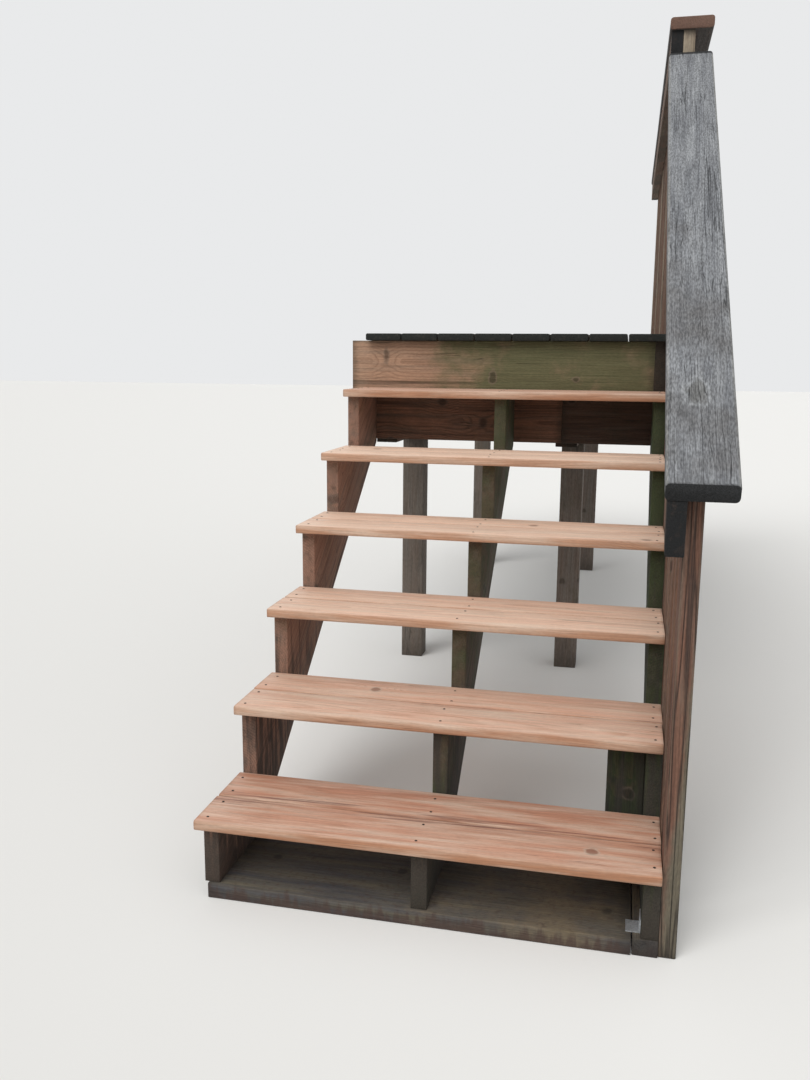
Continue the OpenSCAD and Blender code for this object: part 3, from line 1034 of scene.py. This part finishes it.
@dataclass
class Flight(Assembly):
    """Treads, stringers and what stands at their foot.

    Attributes:
        tread_gap: gap between the two boards of a tread, in millimetres.
        tread_ease: radius of the tread boards' long edges.
        tread_tones_and_painted_light: share of the redder wood in each tread board, front board
            first; the low shares of the fourth and fifth treads paint the sky's sheen on them, and
            the high share of the sixth paints the shade by the header.
        joint_stains: strength of the stain along the joint of each tread.
        stringer_tones: share of mossy wood in each stringer.
        stringer_lower_darkening: strength of the dark brown along the lower edge of the stringers.
        end_waste: most that a tread board falls short at either end.
        screw_shares: places of the screws across a tread, as shares of its depth.
        screw_stray: how far a screw strays along and across a tread.
    """

    tread_gap: float = 3.0
    tread_ease: float = 5.5
    # Shares of redder wood; on the fourth and fifth treads the paler wood is painted sheen, on the
    # sixth the redder wood is painted shade
    tread_tones_and_painted_light: tuple[Pair, ...] = (
        (0.9, 1.0), (0.6, 0.65), (0.3, 0.4), (0.2, 0.25), (0.0, 0.0), (0.8, 0.8)
    )
    joint_stains: tuple[float, ...] = (0.85, 0.5, 0.3, 0.3, 0.4, 0.4)
    stringer_tones: tuple[tuple[str, float], ...] = (
        ("wall_stringer", 0.1), ("middle_stringer", 0.75), ("outer_stringer", 1.0)
    )
    # Darkens the stringers towards their lower edge in the finish's dark brown
    stringer_lower_darkening: float = -0.75
    end_waste: float = 1.8
    screw_shares: tuple[float, ...] = (0.11, 0.4, 0.61, 0.88)
    screw_stray: Pair = (6.0, 5.0)

    def build(self) -> None:
        """Makes every piece of the flight."""
        for step in range(1, self.at.steps + 1):
            self._tread(step)
        for seed, (node, tone) in enumerate(self.stringer_tones):
            self._stringer(node, 20 + seed, tone)
        self.single("base_board", GROUND_PINE, Along.TREAD, 31, ease_mm=3.5)
        self.single("foot_block", GROUND_PINE, Along.FLIGHT, 32)
        self.single("short_post", STRINGER_PINE, Along.UPRIGHT, 33, ease_mm=3.5, tone=1.0)
        self._screws()

    def _tread(self, step: int) -> None:
        """Makes the two boards of a tread.

        Args:
            step: number of the tread, from one at the foot.
        """
        node = f"tread_{step}"
        low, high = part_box(node)
        width = (high.y - low.y - self.tread_gap * MM) / 2
        piece = Lumber(node, TREAD_PINE, step, ending="boards")
        rng = random.Random(step)
        for index, tone in enumerate(self.tread_tones_and_painted_light[step - 1]):
            piece.tone = tone
            piece.wet = self.joint_stains[step - 1] * (1 - 2 * index)
            y = low.y + index * (width + self.tread_gap * MM)
            ends = [rng.uniform(0.0, self.end_waste) * MM for _ in range(2)]
            piece.board(
                Vector((low.x + ends[0], y, low.z)), Vector((high.x - ends[1], y + width, high.z)),
                Along.TREAD, self.tread_ease, wander_mm=0.5,
            )
        piece.build()

    def _stringer(self, node: str, seed: int, tone: float) -> None:
        """Makes a stringer, cut to its steps from one wide board.

        Args:
            node: the CAD node.
            seed: number that sets its grain.
            tone: share of mossy wood.
        """
        at = self.at
        seat = at.first_rise - at.board
        outline = [at.metres(at.nosing, at.frame)]
        for i in range(at.steps):
            z = seat + i * at.rise
            outline += [
                at.metres(at.nosing + i * at.run, z), at.metres(at.nosing + (i + 1) * at.run, z)
            ]
        heel = at.header - (at.stringer_low(at.header) - at.frame) / at.slope
        outline += [at.metres(at.header, at.stringer_low(at.header)), at.metres(heel, at.frame)]
        low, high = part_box(node)
        piece = Lumber(node, STRINGER_PINE, seed, tone, self.stringer_lower_darkening)
        last = len(outline) - 1
        piece.cut(outline, low.x, high.x, at.lean, (last, last - 2), ease_mm=1.6).build()

    def _screws(self) -> None:
        """Puts two screws through each tread board into each stringer."""
        heads = Screws("tread_screws")
        rng = random.Random(7)
        lines = [sum(corner.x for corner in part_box(node)) / 2 for node, _ in self.stringer_tones]
        for step in range(1, self.at.steps + 1):
            low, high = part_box(f"tread_{step}")
            depth = high.y - low.y
            for x in lines:
                for share in self.screw_shares:
                    along, across = (rng.uniform(-far, far) * MM for far in self.screw_stray)
                    spot = Vector((x + along, low.y + share * depth + across, high.z))
                    heads.at(spot, Vector((0, 0, 1)))
        heads.build()


@dataclass
class StairGuard(Assembly):
    """The newel, rail, cap and balusters along the flight.

    Attributes:
        baluster: side of a baluster, in millimetres.
        balusters: number of balusters.
        foot: distance from the lower edge of a stringer or joist to a baluster's foot.
        cap_cut: angle of the cap's lower end, back from plumb, in radians.
        cap_ease: radius of the cap's long edges.
        screw_mm: width of a baluster's screw heads.
        screw_rises: heights of its lower screws above its foot.
        screw_drop: depth of its upper screw under the cap.
    """

    baluster: float = 38.0
    balusters: int = 11
    foot: float = 30.0
    cap_cut: float = math.radians(18.0)
    cap_ease: float = 9.0
    screw_mm: float = 6.0
    screw_rises: Pair = (60.0, 130.0)
    screw_drop: float = 30.0

    def build(self) -> None:
        """Makes every piece of the guard along the flight."""
        self._newel()
        self._rail()
        self._cap()
        self._balusters()

    def _newel(self) -> None:
        """Makes the flat post at the foot, cut to the slope of the cap."""
        at = self.at
        low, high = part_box("newel")
        outline = self._upright(at.nosing, at.narrow, 0.0, 0.0)
        piece = Lumber("newel", NEWEL_PINE, 41, 0.3)
        piece.cut(outline, low.x, high.x, math.pi / 2).build()

    def _upright(self, y: float, width: float, foot: float, foot_rise: float) -> list[Pair]:
        """The side outline of an upright whose top meets the cap.

        Args:
            y: its lower side along the flight, in millimetres.
            width: its width along the flight.
            foot: height of its foot.
            foot_rise: rise of its foot over its width.

        Returns:
            Corners in Y and Z, in metres, foot first.
        """
        at = self.at
        return [
            at.metres(y, foot), at.metres(y + width, foot + foot_rise),
            at.metres(y + width, at.cap_under(y + width)), at.metres(y, at.cap_under(y)),
        ]

    def _rail(self) -> None:
        """Makes the rail on edge under the cap."""
        at = self.at
        low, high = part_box("stair_rail")
        start, finish = (y / MM + at.mid_y for y in (low.y, high.y))
        drop = at.narrow / math.cos(at.guard_lean)
        outline = [
            at.metres(start, at.cap_under(start)), at.metres(start, at.cap_under(start) - drop),
            at.metres(finish, at.cap_under(finish) - drop), at.metres(finish, at.cap_under(finish)),
        ]
        piece = Lumber("stair_rail", RAIL_PINE, 42, 0.6)
        piece.cut(outline, low.x, high.x, at.guard_lean).build()

    def _cap(self) -> None:
        """Makes the flat cap board, laid up the slope with both ends cut aslant."""
        at = self.at
        low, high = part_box("stair_cap")
        skews = (-math.tan(at.guard_lean - self.cap_cut), -at.guard_slope)
        middles = [skew * at.frame / 2 for skew in skews]
        length = (at.post - at.cap_gap + at.fore) / math.cos(at.guard_lean)
        y, z = at.metres(-at.fore, at.cap_low)
        turn = Matrix.Translation((0, y, z)) @ Matrix.Rotation(at.guard_lean, 4, "X")
        piece = Lumber("stair_cap", CAP_PINE, 43, 0.4)
        low = Vector((low.x, middles[0] * MM, -at.frame * MM))
        high = Vector((high.x, (length + middles[1]) * MM, 0.0))
        piece.board(low, high, Along.FLIGHT, self.cap_ease, turn, wander_mm=0.6, skews=skews)
        piece.build()

    def _balusters(self) -> None:
        """Makes the balusters between the newel and the first landing post."""
        at = self.at
        low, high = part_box("stair_balusters")
        start = at.nosing + at.narrow
        gap = (at.post - start - self.balusters * self.baluster) / (self.balusters + 1)
        piece = Lumber("stair_balusters", GUARD_PINE, 44)
        heads = Screws("stair_baluster_screws", self.screw_mm)
        for i in range(self.balusters):
            y = start + gap + i * (self.baluster + gap)
            on_rim = y + self.baluster / 2 > at.header
            seat = at.frame_low if on_rim else max(at.frame, at.stringer_low(y))
            foot = seat + self.foot
            foot_rise = 0.0 if on_rim else at.slope * self.baluster
            outline = self._upright(y, self.baluster, foot, foot_rise)
            piece.cut(outline, low.x, high.x, math.pi / 2)
            rises = (foot + rise for rise in self.screw_rises)
            for z in (*rises, at.cap_under(y) - self.screw_drop):
                middle = at.metres(y + self.baluster / 2, z)
                heads.at(Vector((high.x, *middle)), Vector((1, 0, 0)))
        piece.build()
        heads.build()


@dataclass
class Landing(Assembly):
    """The landing's frame, posts and boards.

    Attributes:
        gap: gap between landing boards, in millimetres.
        boards: number of landing boards.
        joist_count: number of joists between the header and the far joist.
        ease: radius of the landing boards' long edges.
        end_waste: most that a landing board falls short at the header.
        screw_shares: places of the screws across a board, as shares of its width.
        screw_stray: how far a screw strays along a board.
    """

    gap: float = 3.0
    boards: int = 8
    joist_count: int = 6
    ease: float = 5.5
    end_waste: float = 4.0
    screw_shares: Pair = (0.2, 0.8)
    screw_stray: float = 5.0

    def build(self) -> None:
        """Makes every piece of the landing."""
        self.single("header", HEADER_PINE, Along.TREAD, 51)
        self.single("hanger_wall_side", FRAME_PINE, Along.TREAD, 52, tone=0.0)
        self.single("hanger_outer_side", FRAME_PINE, Along.TREAD, 53, tone=0.9)
        self.single("wall_rim", FRAME_PINE, Along.FLIGHT, 54)
        self.single("outer_rim", FRAME_PINE, Along.FLIGHT, 55)
        self.single("far_joist", FRAME_PINE, Along.TREAD, 56)
        self._joists()
        for seed, node in enumerate(("wall_beam", "outer_beam")):
            self._beam(node, 60 + seed)
        for seed, row in enumerate(("wall", "outer")):
            for place in ("near", "far"):
                post = f"{row}_post_{place}"
                self.single(post, POST_PINE, Along.UPRIGHT, 64 + seed, ease_mm=3.5)
        self._decking()

    def _joists(self) -> None:
        """Makes the joists under the landing boards."""
        low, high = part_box("joists")
        thick, pitch = self._spacing()
        piece = Lumber("joists", FRAME_PINE, 57)
        for i in range(self.joist_count):
            y = low.y + i * pitch
            piece.board(Vector((low.x, y, low.z)), Vector((high.x, y + thick, high.z)), Along.TREAD)
        piece.build()

    def _spacing(self) -> Pair:
        """Measures the joists.

        Returns:
            Thickness of a joist and distance from one to the next, in metres.
        """
        low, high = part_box("joists")
        thick = self.at.frame * MM
        return thick, (high.y - low.y - thick) / (self.joist_count - 1)

    def _beam(self, node: str, seed: int) -> None:
        """Makes a beam of two boards laid together.

        Args:
            node: the CAD node.
            seed: number that sets its grain.
        """
        low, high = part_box(node)
        middle = (low.x + high.x) / 2
        piece = Lumber(node, FRAME_PINE, seed)
        piece.board(low, Vector((middle, high.y, high.z)), Along.FLIGHT)
        piece.board(Vector((middle, low.y, low.z)), high, Along.FLIGHT)
        piece.build()

    def _decking(self) -> None:
        """Makes the landing boards and the screws that hold them to the joists."""
        low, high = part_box("landing_decking")
        width = (high.x - low.x - (self.boards - 1) * self.gap * MM) / self.boards
        piece = Lumber("landing_decking", DECKING_PINE, 58, ending="boards")
        heads = Screws("landing_screws")
        rng = random.Random(58)
        thick, pitch = self._spacing()
        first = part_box("joists")[0].y + thick / 2
        lines = [first + i * pitch for i in range(-1, self.joist_count + 1)]
        for i in range(self.boards):
            x = low.x + i * (width + self.gap * MM)
            piece.board(
                Vector((x, low.y + rng.uniform(0, self.end_waste) * MM, low.z)),
                Vector((x + width, high.y, high.z)), Along.FLIGHT, self.ease, wander_mm=0.8,
            )
            for y in lines:
                for share in self.screw_shares:
                    stray = rng.uniform(-self.screw_stray, self.screw_stray) * MM
                    heads.at(Vector((x + share * width, y + stray, high.z)), Vector((0, 0, 1)))
        piece.build()
        heads.build()


@dataclass
class LandingGuard(Assembly):
    """The posts, rail, cap and balusters along the landing.

    Attributes:
        baluster: side of a baluster, in millimetres.
        bay_balusters: number of balusters in a bay.
        bays: number of bays.
        cap_ease: radius of the cap's long edges.
        screw_mm: width of a baluster's screw heads.
        screw_rises: heights of its lower screws above its foot.
        screw_drop: depth of its upper screw under its top.
    """

    baluster: float = 38.0
    bay_balusters: int = 6
    bays: int = 3
    cap_ease: float = 9.0
    screw_mm: float = 6.0
    screw_rises: Pair = (40.0, 120.0)
    screw_drop: float = 45.0

    def build(self) -> None:
        """Makes every piece of the guard along the landing."""
        for i in range(1, self.bays + 2):
            self.single(f"guard_post_{i}", GUARD_POST_PINE, Along.UPRIGHT, 70 + i)
        self.single("landing_rail", RAIL_PINE, Along.FLIGHT, 75)
        low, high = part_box("landing_cap")
        cap = Lumber("landing_cap", LANDING_CAP_PINE, 76)
        cap.board(low, high, Along.FLIGHT, self.cap_ease, wander_mm=0.8).build()
        for bay in range(1, self.bays + 1):
            self._balusters(bay)

    def _balusters(self, bay: int) -> None:
        """Makes the balusters of one bay, with their screws.

        Args:
            bay: number of the bay, from one at the flight.
        """
        node = f"landing_balusters_{bay}"
        low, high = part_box(node)
        side = self.baluster * MM
        pitch = (high.y - low.y - side) / (self.bay_balusters - 1)
        piece = Lumber(node, GUARD_PINE, 80 + bay)
        heads = Screws(f"{node}_screws", self.screw_mm)
        levels = [low.z + rise * MM for rise in self.screw_rises]
        levels.append(high.z - self.screw_drop * MM)
        for i in range(self.bay_balusters):
            y = low.y + i * pitch
            corners = Vector((low.x, y, low.z)), Vector((high.x, y + side, high.z))
            piece.board(*corners, Along.UPRIGHT, ease_mm=1.6)
            for z in levels:
                heads.at(Vector((high.x, y + side / 2, z)), Vector((1, 0, 0)))
        piece.build()
        heads.build()


@dataclass
class Studio:
    """Floor, light and camera.

    Attributes:
        focal_px: focal length in pixels of the 810 x 1080 frame.
        eye: the camera's place in the row frame, in metres.
        yaw: turn of the view to +X from +Y, in radians.
        pitch: how far the view looks down, in radians.
        roll: turn of the camera about its view, in radians.
        frame_px: the longer side of the frame.
        sensor_mm: size of the camera's sensor.
        sight: farthest distance that the camera sees, in metres.
        floor_reach: distance from the floor's middle to its side, in metres.
        lamp_at: where the lamp shines from.
        lamp_to: where it shines to.
        lamp_spread: how wide the lamp looks, in degrees.
        lamp_power: strength of the lamp.
        sky_light: strength of the sky as a light.
        sky_seen: strength of the sky as a background.
    """

    focal_px: float = 969.33
    eye: Point = (0.3830, -4.1946, 1.2689)
    yaw: float = -0.2229
    pitch: float = 0.1853
    roll: float = 0.008
    frame_px: float = 1080
    sensor_mm: float = 36.0
    sight: float = 200.0
    floor_reach: float = 40.0
    lamp_at: Point = (-1.4, -4.6, 6.4)
    lamp_to: Point = (0.0, 0.0, 0.9)
    lamp_spread: float = 50.0
    lamp_power: float = 1.8
    sky_light: float = 0.64
    sky_seen: float = 0.9

    def build(self) -> None:
        """Sets up the floor, the light and the camera."""
        self._floor()
        self._light()
        self._camera()

    def _floor(self) -> None:
        """Lays a plain pale floor that the camera sees as nearly white."""
        mat = bpy.data.materials.new("pale_floor")
        node = partial(add, empty_tree(mat))
        paint = node("BsdfDiffuse", {"Color": linear("#e6e5e2"), "Roughness": 0.5})
        node("OutputMaterial", {"Surface": paint})
        bm = bmesh.new()
        bmesh.ops.create_grid(bm, x_segments=1, y_segments=1, size=self.floor_reach)
        floor = to_object(bm, "floor", mat)

    def _light(self) -> None:
        """Lights the stairs evenly from the sky, with one broad soft lamp in front."""
        world = bpy.data.worlds.new("studio")
        bpy.context.scene.world = world
        node = partial(add, empty_tree(world))
        rays = node("LightPath").outputs
        seen = node("Math", rays["Is Camera Ray"], rays["Is Glossy Ray"], operation="MAXIMUM")
        seen = node("Math", seen, rays["Is Transmission Ray"], operation="MAXIMUM")
        strength = node("MapRange", {0: seen, 3: self.sky_light, 4: self.sky_seen})
        sky = node("Background", {"Color": linear("#f4f5f6"), "Strength": strength})
        node("OutputWorld", {"Surface": sky})
        lamp = bpy.data.lights.new("soft_lamp", "SUN")
        lamp.angle = math.radians(self.lamp_spread)
        lamp.energy = self.lamp_power
        hung = bpy.data.objects.new("soft_lamp", lamp)
        bpy.context.scene.collection.objects.link(hung)
        hung.location = self.lamp_at
        aim = Vector(self.lamp_to) - hung.location
        hung.rotation_euler = aim.to_track_quat("-Z", "Y").to_euler()

    def _camera(self) -> None:
        """Places the camera at the photograph's viewpoint."""
        flat, down = math.cos(self.pitch), math.sin(self.pitch)
        forward = Vector((math.sin(self.yaw) * flat, math.cos(self.yaw) * flat, -down))
        level = Vector((math.cos(self.yaw), -math.sin(self.yaw), 0.0))
        upright = level.cross(forward)
        right = math.cos(self.roll) * level + math.sin(self.roll) * upright
        top = -math.sin(self.roll) * level + math.cos(self.roll) * upright
        camera = bpy.data.cameras.new("photo_view")
        camera.sensor_fit = "AUTO"
        camera.sensor_width = self.sensor_mm
        camera.lens = self.focal_px / self.frame_px * self.sensor_mm
        camera.clip_end = self.sight
        eye = bpy.data.objects.new("photo_view", camera)
        bpy.context.scene.collection.objects.link(eye)
        turn = Matrix((right, top, -forward)).transposed().to_4x4()
        eye.matrix_world = Matrix.Translation(self.eye) @ turn
        bpy.context.scene.camera = eye


def main() -> None:
    """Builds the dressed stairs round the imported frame."""
    logging.basicConfig(level=logging.INFO, format="%(message)s")
    # Without a seed, the noise that strays the boards' faces starts from the clock
    noise.seed_set(1)
    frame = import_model()
    bpy.context.scene.view_settings.view_transform = "Standard"
    at = Layout()
    for part in (Flight(at), StairGuard(at), Landing(at), LandingGuard(at), Studio()):
        part.build()
        log.info("%s is done", type(part).__name__)
    angle = frame["nodes"]["foot_angle"]
    angle.data.materials.clear()
    angle.data.materials.append(ZINC.material())
    bpy.context.view_layer.update()


if __name__ == "__main__":
    main()
